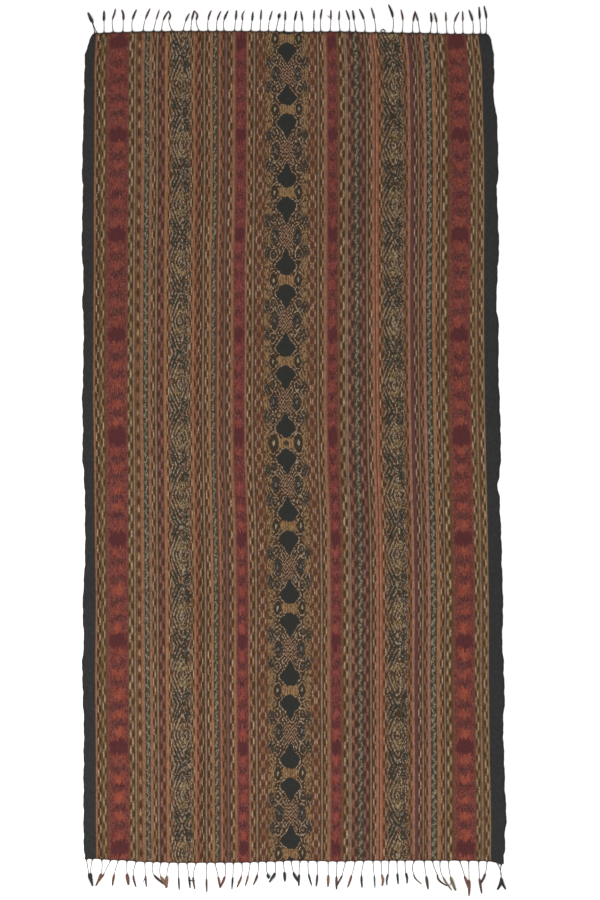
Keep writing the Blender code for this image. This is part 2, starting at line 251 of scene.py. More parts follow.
def turns(rows, repeat, up):
    """How far along a tied pattern this height is, as if every repeat had its full length."""
    falling = [-row for row in rows]
    step = [number * repeat for number in range(len(rows))]
    if -up < falling[0]:
        return -up - falling[0]
    if -up > falling[-1]:
        return step[-1] + (-up - falling[-1])
    return between(falling, step, -up)


def wander(loom, up):
    """How far a warp yarn has strayed sideways at a height."""
    heights = [row[0] for row in WANDER][::-1]
    shifts = [between(LINES, row[1], loom) for row in WANDER][::-1]
    return between(heights, shifts, up)


def srgb(code):
    """A hex sRGB colour as the linear one that the shaders take."""
    linear = []
    for place in (1, 3, 5):
        level = int(code[place:place + 2], 16) / 255.0
        linear.append(level / 12.92 if level <= 0.04045 else ((level + 0.055) / 1.055) ** 2.4)
    return (*linear, 1.0)


LIGHT_LEVEL = 1.2          # how much brighter than its own colour a surface comes out in this light


def dyed(code):
    """A dye as it looks in the photo, as the surface needs it under this scene's light."""
    red, green, blue, solid = srgb(code)
    return (red / LIGHT_LEVEL, green / LIGHT_LEVEL, blue / LIGHT_LEVEL, solid)


def add(tree, kind, inputs=None, **settings):
    """Adds a node, sets its properties, and fills its sockets with values or links."""
    node = tree.nodes.new(kind)
    for name, value in settings.items():
        setattr(node, name, value)
    for name, value in (inputs or {}).items():
        value = getattr(value, "socket", value)
        if isinstance(value, bpy.types.NodeSocket):
            tree.links.new(value, node.inputs[name])
        else:
            node.inputs[name].default_value = value
    return node


class Amount:
    """A number that the nodes work out, so that a figure's shape is written as plain arithmetic."""

    def __init__(self, tree, socket):
        self.tree = tree
        self.socket = socket

    def maths(self, operation, *others):
        inputs = dict(enumerate((self, *others)))
        node = add(self.tree, "ShaderNodeMath", inputs, operation=operation)
        return Amount(self.tree, node.outputs[0])

    def __add__(self, other):
        return self.maths("ADD", other)

    def __sub__(self, other):
        return self.maths("SUBTRACT", other)

    def __mul__(self, other):
        return self.maths("MULTIPLY", other)

    def __truediv__(self, other):
        return self.maths("DIVIDE", other)

    def __abs__(self):
        return self.maths("ABSOLUTE")

    def fade(self, start, end):
        """0 at start, 1 at end, softly from one to the other."""
        inputs = {"Value": self, "From Min": start, "From Max": end}
        node = add(self.tree, "ShaderNodeMapRange", inputs, interpolation_type="SMOOTHSTEP")
        return Amount(self.tree, node.outputs[0])


def greater(first, second):
    return first.maths("MAXIMUM", second)


def lesser(first, second):
    return first.maths("MINIMUM", second)


def out_from(across, along, middle, radii, corner):
    """How far out from the middle of a shape a place is, 1 on its rim. The middle and the radii are
    as wide and long as the real ones, in millimetres. The corner says what shape: 1 for a lozenge,
    2 for an oval, and between them a lozenge with rounded corners."""
    x = abs((across - middle[0]) / radii[0]).maths("POWER", corner)
    y = abs((along - middle[1]) / radii[1]).maths("POWER", corner)
    return (x + y).maths("POWER", 1.0 / corner)


def overdye(share, under, over):
    """One dye laid over another, by the share of it that took."""
    tree = share.tree
    inputs = {0: share, 6: under, 7: over}
    return add(tree, "ShaderNodeMix", inputs, data_type="RGBA").outputs[2]


class Weave:
    """What every stripe's material reads: where it is in the cloth, and how its yarns vary.
    Real yarns are about half as wide as these. They are drawn coarser so that they show."""

    BUNDLE = 2.5       # yarns are tied and dyed in bundles about this wide
    YARN = 0.62        # one warp yarn
    BEAT = 1.3         # one weft
    SLUB = 9.0         # how soon a yarn's shade changes along it
    STRIDE = 7.31      # from one strand to the next through the noise, too far for them to agree

    def __init__(self, tree):
        self.tree = tree
        place = add(tree, "ShaderNodeUVMap", uv_map="weave").outputs[0]
        split = add(tree, "ShaderNodeSeparateXYZ", {0: place})
        self.loom = Amount(tree, split.outputs[0]) * 1000.0
        self.length = Amount(tree, split.outputs[1]) * 1000.0
        figure = add(tree, "ShaderNodeUVMap", uv_map="figure").outputs[0]
        split = add(tree, "ShaderNodeSeparateXYZ", {0: figure})
        self.across = Amount(tree, split.outputs[0])
        self.along = Amount(tree, split.outputs[1]) * 1000.0
        self.bundle = (self.loom / self.BUNDLE).maths("FLOOR")
        # From here to the middle of the bundle, so that a figure's edges step from one to the next.
        self.step = (self.bundle + 0.5) * self.BUNDLE - self.loom
        self.yarn = (self.loom / self.YARN).maths("FLOOR")
        self.streak = self.shade(self.bundle, 2.5, self.SLUB, 1.5)
        self.fine = self.shade(self.bundle, 5.1, 4.5, 0.0)
        self.fleck = self.shade(self.yarn, 1.7, 4.0, 0.0)

    def shade(self, strand, apart, length, detail):
        """Noise that runs along each warp strand and has nothing to do with the next one's."""
        return self.running(strand * apart * self.STRIDE, self.length / length, detail)

    def running(self, side, run, detail):
        """Noise at a place that is told across and along."""
        inputs = {0: side, 1: run}
        place = add(self.tree, "ShaderNodeCombineXYZ", inputs).outputs[0]
        inputs = {"Vector": place, "Scale": 1.0, "Detail": detail, "Roughness": 0.6}
        node = add(self.tree, "ShaderNodeTexNoise", inputs, noise_dimensions="2D")
        return Amount(self.tree, node.outputs[0])

    def chance(self, strand, seed):
        """A number from 0 to 1 for each strand."""
        node = add(self.tree, "ShaderNodeTexWhiteNoise", {"W": strand + seed}, noise_dimensions="1D")
        return Amount(self.tree, node.outputs[0])

    def cloud(self, size, seed, detail=1.0):
        """Slow change over the whole cloth, a patch being about this size."""
        return self.running(self.loom / size + seed, self.length / size, detail)

    def slipped(self, slip):
        """The place along the figure, as each bundle has slipped on the loom."""
        own = (self.chance(self.bundle, 3.0) - 0.5) * slip
        more = (self.shade(self.bundle, 4.0, 16.0, 0.0) - 0.5) * slip * 2.0
        return self.along + own + more

    def dye(self, name):
        """The stripe's own dye, or the one under it."""
        return add(self.tree, "ShaderNodeAttribute", attribute_name=name).outputs["Color"]


# The kinds of stripe. Each gives its colour, and how uneven its yarns' tone is.

CHAIN_DASH = 20.0          # the length of one dash of a chain, or of one bead
LATTICE_DASH = 17.0
ROPE_CROSSING = 12.0       # how far up the cloth a rope takes to cross its stripe


def plain_stripe(weave):
    """One dye all along, with long faint marks where a bundle was tied a little."""
    marks = weave.shade(weave.bundle, 6.3, 15.0, 1.5).fade(0.46, 0.62)
    return overdye(marks * 0.42, weave.dye("dye"), weave.dye("under")), 0.24


def meander(across, swing, line):
    """A thin line that steps from side to side, widest halfway along each of its dashes: how much
    of the line is here, and of the dark lens beside it."""
    side = swing.fade(-0.4, 0.4) * 2.0 - 1.0
    width = abs(swing) * line * 0.5 + line * 0.45
    share = (abs(across - side * 0.5) / width).fade(1.15, 0.45)
    lens = (across * side).fade(0.1, -0.4) * abs(swing).fade(0.2, 0.8)
    return share, lens


def chain_stripe(weave):
    """Pale dashes that step from side to side, joined by thin lines, with a dark lens beside each.
    Some took less dye out than others."""
    along = weave.slipped(2.5)
    swing = (along * (math.pi / CHAIN_DASH)).maths("SINE")
    share, lens = meander(weave.across, swing, 0.42)
    dash = (along / CHAIN_DASH).maths("FLOOR")
    share = share * (weave.chance(dash, 2.0) * 0.6 + 0.5) * weave.fine.fade(0.1, 0.5)
    ground = overdye(lens * 0.85, weave.dye("under"), dyed("#3c2917"))
    tint = weave.chance(dash, 7.0).fade(0.55, 0.95) * 0.7
    line = overdye(tint, weave.dye("dye"), dyed("#7d4f35"))
    return overdye(share, ground, line), 0.24


def bead_stripe(weave):
    """Dark beads and pale dashes in turn down the middle, a thin pale line on each side."""
    along = weave.slipped(2.5)
    swing = (along * (math.pi / CHAIN_DASH)).maths("SINE")
    dash = (along / CHAIN_DASH).maths("FLOOR")
    side = abs(weave.across)
    rails = abs(side - 0.82 + swing * 0.08).fade(0.24, 0.05) * weave.fine.fade(0.15, 0.5)
    ground = overdye(rails * 0.6, weave.dye("under"), weave.dye("dye"))
    bead = (side / swing.maths("MAXIMUM", 0.05)).fade(1.0, 0.5)
    ground = overdye(bead * 0.85, ground, dyed("#40281b"))
    pale = (side / (swing * -0.62).maths("MAXIMUM", 0.02)).fade(1.1, 0.5)
    pale = pale * (weave.chance(dash, 5.0) * 0.5 + 0.5) * weave.fine.fade(0.1, 0.5)
    light = overdye(weave.chance(dash, 8.0).fade(0.3, 0.8), dyed("#a58765"), weave.dye("dye"))
    return overdye(pale, ground, light), 0.26


def rope_stripe(weave):
    """Pale hooks that zigzag down a dark stripe, blurred where the yarns have slipped."""
    swing = (weave.slipped(8.0) / ROPE_CROSSING).maths("PINGPONG", 1.0) * 2.0 - 1.0
    share = abs(weave.across - swing * 0.55).fade(0.6, 0.16)
    share = share * weave.fine.fade(0.25, 0.6) * 0.9
    darker = weave.shade(weave.bundle, 2.9, 9.0, 1.0).fade(0.4, 0.6)
    ground = overdye(darker, weave.dye("under"), dyed("#35342c"))
    return overdye(share, ground, weave.dye("dye")), 0.22


def lattice_stripe(weave):
    """Two thin meandering lines, one the other's mirror, on a red-brown ground."""
    along = weave.slipped(2.5)
    swing = (along * (math.pi / LATTICE_DASH)).maths("SINE")
    share, lens = meander((abs(weave.across) - 0.5) * 2.0, swing, 0.4)
    dash = (along / LATTICE_DASH).maths("FLOOR")
    share = share * (weave.chance(dash, 4.0) * 0.6 + 0.45)
    ground = overdye(lens * 0.9, weave.dye("under"), dyed("#522f28"))
    line = overdye(weave.chance(dash, 9.0).fade(0.5, 0.9) * 0.7, weave.dye("dye"), dyed("#855540"))
    return overdye(share * weave.fine.fade(0.15, 0.6), ground, line), 0.26


def red_stripe(weave, half, low, high, heart):
    """Red warp with solid maroon blocks and, between one block and the next, dim bars with a glow
    of brighter red on each side. The yarns' slipping gives all of them furry edges."""
    along = weave.slipped(9.0)
    across = abs(weave.across + weave.step / half)
    fold = along.maths("PINGPONG", BLOCK_REPEAT / 2.0)
    ground = overdye(weave.streak.fade(0.25, 0.75), dyed(low), dyed(high))
    first = abs(fold - 58.0 + across * 8.0)
    second = abs(fold - 101.0 + across * 8.0)
    nearest = lesser(first, second)
    lower = weave.length.fade(700.0, -700.0)
    glow = nearest.fade(6.0, 17.0) * across.fade(0.8, 0.05) * weave.cloud(35.0, 5.0).fade(0.2, 0.6)
    ground = overdye(glow * (lower * 0.5 + 0.35), ground, dyed(heart))
    bars = nearest.fade(15.0, 2.0) * across.fade(0.95, 0.35)
    bars = bars * (weave.fine.fade(0.8, 0.2) * 0.55 + 0.4)
    ground = overdye(bars, ground, dyed("#432324"))
    flecks = weave.shade(weave.yarn, 2.3, 7.0, 1.0).fade(0.54, 0.76)
    ground = overdye(flecks * 0.5, ground, dyed("#8f6b60"))
    side = across.fade(0.82, 1.0)
    ground = overdye(side * weave.fine.fade(0.25, 0.6) * 0.6, ground, dyed("#684c3a"))
    turn = (weave.along / BLOCK_REPEAT + 0.5).maths("FLOOR")
    taller = abs(turn - MIDDLE_BLOCK).fade(0.6, 0.4) * 0.35 + 1.0
    block = out_from(across, fold / taller, (0.0, 0.0), (0.86, 19.5), 2.6)
    return overdye(block.fade(1.18, 0.82), ground, dyed("#502829")), 0.16


def broad_red_stripe(weave):
    """The two widest red bands, with orange-red hearts."""
    return red_stripe(weave, 26.5, "#562825", "#703831", "#8f442f")


def narrow_red_stripe(weave):
    """The narrow red bands, more crimson than the broad ones, and brown along the left edge."""
    colour, unevenness = red_stripe(weave, 15.0, "#542726", "#6d3430", "#873f33")
    brown = weave.across.fade(-0.6, -1.0) * 0.6
    return overdye(brown, colour, dyed("#75503a")), unevenness


def thin_lines(weave, out, gap, thinness):
    """Fine lines that run round a shape like ripples, a gap apart, as pale as each bundle took."""
    line = (out / gap).maths("PINGPONG", 0.5).fade(0.5 - thinness, 0.46)
    return line * (weave.chance(weave.bundle, 6.0) * 0.4 + 0.65) * weave.fine.fade(0.22, 0.5)


def undyed(weave, seed):
    """The pale of a tied bundle, more pink or more rusty from one to the next."""
    rusty = weave.shade(weave.bundle, 3.9 + seed, 26.0, 0.0).fade(0.54, 0.76)
    return overdye(rusty, dyed("#998975"), dyed("#8b6855"))


def side_ikat(weave):
    """A mottled band: nested diamonds of fine pale lines, with dark masses along both sides where
    one diamond meets the next."""
    along = weave.slipped(3.2)
    shake = (weave.cloud(12.0, 3.0, 2.0) - 0.5) * 30.0
    across = abs(weave.across * 25.5 + weave.step * 0.6 + shake * 0.3)
    fold = along.maths("PINGPONG", DIAMOND_REPEAT / 2.0) + shake
    out = out_from(across, fold, (0.0, 0.0), (19.0, 46.0), 1.1)
    purple = weave.cloud(26.0, 11.0).fade(0.4, 0.65)
    ground = overdye(purple, dyed("#402f1f"), dyed("#3f3227"))
    ground = overdye(thin_lines(weave, out * 19.0, 8.4, 0.3), ground, undyed(weave, 0.0))
    edge = across.fade(17.0, 24.0)
    ground = overdye(edge * weave.streak.fade(0.4, 0.6) * 0.6, ground, dyed("#7b5a42"))
    glow = out_from(across, fold, (6.0, 22.0), (8.0, 14.0), 2.0).fade(1.2, 0.6)
    ground = overdye(glow * weave.fine.fade(0.4, 0.6) * 0.5, ground, dyed("#90784f"))
    side = out_from(across, fold, (15.0, 52.0), (9.0, 16.0), 2.0)
    between = out_from(across, fold, (0.0, 76.0), (13.0, 9.0), 2.0)
    dark = lesser(side, between).fade(1.3, 0.6) * weave.fine.fade(0.75, 0.4)
    return overdye(dark * 0.9, ground, dyed("#2b2c26")), 0.22


def centre_ikat(weave):
    """The main figure: pairs of black tops, tip to tip over a diamond of zigzags, with an eye on
    each side of the gold bridge between two pairs, and dark lumps and hooks beside the diamond.
    Thin pale lines run round each of them like ripples."""
    along = weave.slipped(2.5)
    shake = (weave.cloud(14.0, 9.0) - 0.5) * 8.0
    across = abs(weave.across * 54.6 + weave.step + shake * 0.3)
    fold = along.maths("PINGPONG", EYE_REPEAT / 2.0) + shake * 0.3
    back = fold * -1.0 + EYE_REPEAT / 2.0
    turn = (weave.along / EYE_REPEAT + 0.5).maths("FLOOR")
    middle = abs(turn - MIDDLE_EYES).fade(0.6, 0.4)

    rise = fold - middle * 5.0 - 33.0
    body = out_from(across, rise, (0.0, 0.0), (24.0, 23.0), 1.4)
    tip = rise.maths("MAXIMUM", 0.0) - rise.maths("MINIMUM", 0.0) * 3.0
    spike = out_from(across, tip, (0.0, 0.0), (19.0, 42.0), 1.0)
    top = lesser(body, spike)
    grown_eye = middle * 0.35 + 1.0
    eye = out_from(across, fold, (31.0, 0.0), (9.0, 15.5), 1.6) / grown_eye
    lump = out_from(across, back, (28.0, 0.0), (12.0, 21.0), 1.4)
    heart = out_from(across, back, (0.0, 0.0), (24.0, 40.0), 1.0)
    hook = out_from(across, back, (32.0, 43.0), (12.0, 17.0), 1.5)

    near = lesser((top - 1.0) * 22.0, (eye - 1.0) * 13.0)
    near = lesser(near, (lump - 1.0) * 14.0)
    near = lesser(near, (hook - 0.5) * 12.0) + (weave.cloud(13.0, 14.0) - 0.5) * 6.0
    pale = undyed(weave, 1.0)
    ground = overdye(thin_lines(weave, near, 7.4, 0.28), dyed("#3b2b1c"), pale)
    outer = across.fade(32.0, 46.0) * greater(fold.fade(68.0, 46.0), back.fade(24.0, 10.0))
    streaks = weave.streak.fade(0.42, 0.56)
    ground = overdye(outer * 0.7, ground, overdye(streaks, dyed("#483420"), dyed("#8c6c4b")))
    bar = out_from(across, back, (46.0, 38.0), (6.5, 15.0), 2.0).fade(1.3, 0.8)
    ground = overdye(bar * weave.fine.fade(0.8, 0.45) * 0.9, ground, dyed("#2e2e2b"))

    core = hook.fade(0.5, 0.35) * weave.fine.fade(0.75, 0.45)
    ground = overdye(core * 0.85, ground, dyed("#2f2e2c"))
    zigzag = (across / 11.0).maths("PINGPONG", 0.5) * 26.0
    rows = ((fold + zigzag) / 9.5).maths("PINGPONG", 0.5).fade(0.22, 0.38)
    inside = overdye(rows * weave.fine.fade(0.1, 0.4) * 0.85, dyed("#452f20"), dyed("#907763"))
    ground = overdye(heart.fade(1.06, 0.92), ground, inside)
    ground = overdye(lump.fade(1.1, 0.8) * weave.fine.fade(0.85, 0.5) * 0.92, ground, dyed("#2c2b29"))
    spark = out_from(across, back, (29.0, 0.0), (3.0, 7.0), 1.5).fade(1.2, 0.5)
    ground = overdye(spark * 0.35, ground, dyed("#8b8272"))
    posts = (across / 6.2 + shake * 0.03).maths("PINGPONG", 0.5).fade(0.16, 0.4)
    posts = posts * (middle * 0.5 + 0.5) + weave.streak.fade(0.35, 0.6) * 0.5
    bridge = fold.fade(14.0, 9.0) * across.fade(22.0, 17.0)
    ground = overdye(bridge * 0.9, ground, overdye(posts, dyed("#59402c"), dyed("#94744f")))
    knot = out_from(across, fold, (0.0, 0.0), (7.5, 7.5), 2.0).fade(1.2, 0.7)
    ground = overdye(knot * (middle * 0.8 + 0.1), ground, dyed("#332b28"))
    ground = overdye(eye.fade(1.12, 0.9) * 0.93, ground, dyed("#33291f"))
    spark = out_from(across, fold, (31.0, 0.0), (2.8, 6.5), 1.5) / grown_eye
    ground = overdye(spark.fade(1.2, 0.5) * 0.9, ground, dyed("#948c74"))
    return overdye(top.fade(1.05, 0.96), ground, dyed("#2a2b28")), 0.14


def selvedge_stripe(weave):
    """Black warp, with hardly a change in it but the yarns' own."""
    return overdye(weave.streak.fade(0.3, 0.7), dyed("#2a2b2a"), dyed("#303130")), 0.05


def woven_cotton(kind, pattern):
    """Handspun cotton in a close warp-faced weave: matt, ribbed lengthwise by its yarns, with a
    faint bloom of loose fibre where light grazes it."""
    material = bpy.data.materials.new("handspun cotton, " + kind)
    material.use_nodes = True
    tree = material.node_tree
    tree.nodes.clear()
    weave = Weave(tree)
    colour, unevenness = pattern(weave)
    tone = (weave.streak - 0.5) * unevenness * 3.0 + (weave.fleck - 0.5) * 0.35 + 1.0
    tone = tone + (weave.cloud(260.0, 2.0, 2.0) - 0.5) * 0.16
    pick = (weave.length / weave.BEAT).maths("FLOOR")
    tone = tone + (weave.running(pick * 5.17, weave.loom / 90.0, 0.0) - 0.5) * 0.12
    warm = (weave.shade(weave.bundle, 3.3, 15.0, 1.0) - 0.5) * unevenness * 1.6
    cool = (weave.shade(weave.bundle, 4.7, 10.0, 1.0) - 0.5) * unevenness * 1.1
    inputs = {0: tone + warm, 1: tone + cool * 0.5, 2: tone - warm - cool}
    tint = add(tree, "ShaderNodeCombineColor", inputs).outputs[0]
    inputs = {0: 1.0, 6: colour, 7: tint}
    colour = add(tree, "ShaderNodeMix", inputs, data_type="RGBA", blend_type="MULTIPLY").outputs[2]
    rib = (weave.loom / weave.YARN).maths("PINGPONG", 0.5) * 2.0
    beat = (weave.length / weave.BEAT + weave.yarn * 0.5).maths("PINGPONG", 0.5) * 2.0
    height = rib.fade(0.0, 0.8) * 0.3 + beat.fade(0.0, 0.7) * 0.15 + weave.streak * 0.8
    bump = add(tree, "ShaderNodeBump", {"Height": height, "Distance": 0.0006, "Strength": 0.5})
    shader = add(tree, "ShaderNodeBsdfPrincipled", {
        "Base Color": colour, "Normal": bump.outputs[0], "Roughness": weave.streak * -0.12 + 0.95,
        "Specular IOR Level": 0.1, "Sheen Weight": 0.04, "Sheen Roughness": 0.4,
    })
    add(tree, "ShaderNodeOutputMaterial", {0: shader.outputs[0]})
    return material


PATTERNS = {
    "plain": plain_stripe,
    "chain": chain_stripe,
    "beads": bead_stripe,
    "rope": rope_stripe,
    "lattice": lattice_stripe,
    "broad red": broad_red_stripe,
    "narrow red": narrow_red_stripe,
    "side ikat": side_ikat,
    "centre ikat": centre_ikat,
    "selvedge": selvedge_stripe,
}
CLOCKS = {
    "broad red": (BLOCK_ROWS, BLOCK_REPEAT),
    "narrow red": (BLOCK_ROWS, BLOCK_REPEAT),
    "side ikat": (DIAMOND_ROWS, DIAMOND_REPEAT),
    "centre ikat": (EYE_ROWS, EYE_REPEAT),
}


# The web

SCALLOP = 56.0             # from one dip of the selvedges to the next, as the weft pulls them in
SCALLOP_DEPTH = 1.9
PICK = 3.6                 # how soon the small notches of the selvedges come round again
PICK_DEPTH = 0.35


def upper_edge(across):
    """How far up the cloth its upper end is."""
    return read_off(ENDS, "across", "upper", across)


def lower_edge(across):
    """How far up the cloth its lower end is."""
    return read_off(ENDS, "across", "lower", across)


def warp_columns():
    """Every line of the mesh up the cloth: its place on the loom and the stripe to its right."""
    columns = []
    place = WARP_LEFT
    for number, stripe in enumerate(WARP):
        steps = max(1, math.ceil(stripe.width / WIDEST_STEP))
        for step in range(steps):
            columns.append((place + stripe.width * step / steps, number))
        place += stripe.width
    columns.append((place, len(WARP) - 1))
    return columns


def lies_at(loom, up):
    """Where a warp yarn lies across the floor at a height, its selvedge scalloped and notched."""
    first = WARP_LEFT + WARP[0].width
    last = WARP_LEFT + sum(stripe.width for stripe in WARP[:-1])
    right = last + WARP[-1].width
    if first <= loom <= last:
        return loom + wander(loom, up)
    scallop = abs(math.sin(math.pi * up / SCALLOP + 0.6 * math.sin(up / 83.0)))
    pull = 1.0 - SCALLOP_DEPTH * scallop ** 0.8 + PICK_DEPTH * math.sin(up / PICK)
    if loom < first:
        share = (first - loom) / (first - WARP_LEFT)
        edge = read_off(SELVEDGES, "up", "left", up) + pull
        inner = first + wander(first, up)
    else:
        share = (loom - last) / (right - last)
        edge = read_off(SELVEDGES, "up", "right", up) - pull
        inner = last + wander(last, up)
    return inner + (edge - inner) * share


def ripple(across, up):
    """How high the cloth lies off the floor: nearly flat, puckered a little at the selvedges."""
    slow = noise.noise(Vector((across / 240.0, up / 300.0, 1.5)))
    quick = noise.noise(Vector((across / 60.0, up / 85.0, 7.5)))
    edge = min(abs(across + 528.0), abs(across - 515.0))
    pucker = max(0.0, 1.0 - edge / 45.0) * (0.5 + 0.5 * math.sin(up / 11.0 + across / 90.0))
    return max(0.0, 0.5 + 1.1 * slow + 0.5 * quick) + 0.5 * pucker


def build_cloth():
    """The whole web as one thin closed sheet, its mesh divided on the edges of the stripes."""
    columns = warp_columns()
    rows = math.ceil(FLAT_SIZE[1] / MM / ROW_STEP)
    width = len(columns)
    places = []
    lengths = []
    for row in range(rows + 1):
        share = row / rows
        for loom, _ in columns:
            across = lies_at(loom, ROUGH_TOP - ROUGH_LENGTH * share)
            top = upper_edge(across) - TUCK
            bottom = lower_edge(across) + TUCK
            up = top + (bottom - top) * share
            across = lies_at(loom, up)
            places.append((across, up))
            lengths.append(up)
    count = len(places)
    verts = []
    for across, up in places:
        verts.append(Vector((across, up, ripple(across, up) + CLOTH_THICKNESS)) * MM)
    for across, up in places:
        verts.append(Vector((across, up, ripple(across, up))) * MM)
    faces = []
    stripes = []
    for row in range(rows):
        for column in range(width - 1):
            corner = row * width + column
            ring = (corner, corner + width, corner + width + 1, corner + 1)
            faces.append(ring)
            faces.append(tuple(vert + count for vert in ring[::-1]))
            stripes += [columns[column][1]] * 2
    for row in range(rows):
        for column, inward in ((0, 0), (width - 1, 1)):
            first, second = row * width + column, (row + 1) * width + column
            ring = (first, first + count, second + count, second)
            faces.append(ring[::-1] if inward else ring)
            stripes.append(columns[min(column, width - 2)][1])
    for column in range(width - 1):
        for row, inward in ((0, 1), (rows, 0)):
            first, second = row * width + column, row * width + column + 1
            ring = (first, first + count, second + count, second)
            faces.append(ring[::-1] if inward else ring)
            stripes.append(columns[column][1])
    mesh = bpy.data.meshes.new("ikat_web")
    mesh.from_pydata([tuple(vert) for vert in verts], [], faces)
    paint_places(mesh, columns, lengths, stripes, count)
    mesh.update()
    piece = bpy.data.objects.new("ikat_web", mesh)
    bpy.context.scene.collection.objects.link(piece)
    return piece


def paint_places(mesh, columns, lengths, stripes, count):
    """Gives every corner its place on the loom, its place in its figure, and its stripe's dyes."""
    kinds = list(PATTERNS)
    for kind in kinds:
        mesh.materials.append(woven_cotton(kind, PATTERNS[kind]))
    middles = []
    place = WARP_LEFT
    for stripe in WARP:
        middles.append(place + stripe.width / 2.0)
        place += stripe.width
    chooser = random.Random(11)
    starts = [chooser.uniform(0.0, 4000.0) for stripe in WARP]
    width = len(columns)
    clocks = {kind: {} for kind in kinds}
    weave = []
    figure = []
    dye = []
    under = []
    slots = []
    for polygon, number in zip(mesh.polygons, stripes):
        stripe = WARP[number]
        slots.append(kinds.index(stripe.kind))
        for vert in polygon.vertices:
            loom = columns[vert % count % width][0]
            up = lengths[vert % count]
            if stripe.kind in CLOCKS:
                known = clocks[stripe.kind]
                if up not in known:
                    known[up] = turns(*CLOCKS[stripe.kind], up)
                along = known[up]
            else:
                along = starts[number] - up
            weave += [loom * MM, up * MM]
            figure += [(loom - middles[number]) / (stripe.width / 2.0), along * MM]
            dye += dyed(DYES[stripe.dye])
            under += dyed(DYES[stripe.under])
    mesh.uv_layers.new(name="weave").data.foreach_set("uv", weave)
    mesh.uv_layers.new(name="figure").data.foreach_set("uv", figure)
    mesh.attributes.new("dye", "FLOAT_COLOR", "CORNER").data.foreach_set("color", dye)
    mesh.attributes.new("under", "FLOAT_COLOR", "CORNER").data.foreach_set("color", under)
    mesh.polygons.foreach_set("material_index", slots)
    mesh.polygons.foreach_set("use_smooth", [True] * len(slots))


# The fringes


def open_sockets(tree, inputs):
    """Gives a tree its named inputs, and one geometry output."""
    for name, kind in inputs.items():
        tree.interface.new_socket(name, in_out="INPUT", socket_type="NodeSocket" + kind)
    tree.interface.new_socket("Grown", in_out="OUTPUT", socket_type="NodeSocketGeometry")


def twist_tree():
    """Turns lines into two-ply cord: a profile of two lobes that turns once in every Turn of its
    length, and is as wide as the line's girth. Each point also keeps which ply it is on."""
    tree = bpy.data.node_groups.new("two-ply cord", "GeometryNodeTree")
    open_sockets(tree, {"Lines": "Geometry", "Turn": "Float", "Step": "Float", "Yarn": "Material"})
    given = add(tree, "NodeGroupInput")
    curve = add(tree, "GeometryNodeMeshToCurve", {0: given.outputs["Lines"]})
    inputs = {"Curve": curve.outputs[0], "Length": given.outputs["Step"]}
    even = add(tree, "GeometryNodeResampleCurve", inputs, mode="LENGTH")
    run = Amount(tree, add(tree, "GeometryNodeSplineParameter").outputs["Length"])
    lean = run / given.outputs["Turn"] * (2.0 * math.pi)
    turned = add(tree, "GeometryNodeSetCurveTilt", {"Curve": even.outputs[0], "Tilt": lean})
    girth = add(tree, "GeometryNodeInputNamedAttribute", {"Name": "girth"}, data_type="FLOAT")
    ring = add(tree, "GeometryNodeCurvePrimitiveCircle", {"Resolution": 8, "Radius": 1.0})
    place = add(tree, "GeometryNodeInputPosition")
    split = add(tree, "ShaderNodeSeparateXYZ", {0: place.outputs[0]})
    side = Amount(tree, split.outputs[0])
    waist = abs(side) * 0.5 + 0.5
    pulled = add(tree, "ShaderNodeVectorMath", {0: place.outputs[0], 3: waist}, operation="SCALE")
    inputs = {"Geometry": ring.outputs[0], "Position": pulled.outputs[0]}
    lobes = add(tree, "GeometryNodeSetPosition", inputs)
    # Which ply each point is on. The yarn's material paints one ply darker from it, as painted shade.
    inputs = {"Geometry": lobes.outputs[0], "Name": "ply", "Value": side.fade(-0.3, 0.3)}
    ply = add(tree, "GeometryNodeStoreNamedAttribute", inputs)
    swept = add(tree, "GeometryNodeCurveToMesh", {
        "Curve": turned.outputs[0], "Profile Curve": ply.outputs[0], "Scale": girth.outputs[0],
        "Fill Caps": True,
    })
    whole = add(tree, "GeometryNodeRealizeInstances", {0: swept.outputs[0]})
    inputs = {"Geometry": whole.outputs[0], "Material": given.outputs["Yarn"]}
    done = add(tree, "GeometryNodeSetMaterial", inputs)
    add(tree, "NodeGroupOutput", {0: done.outputs[0]})
    return tree


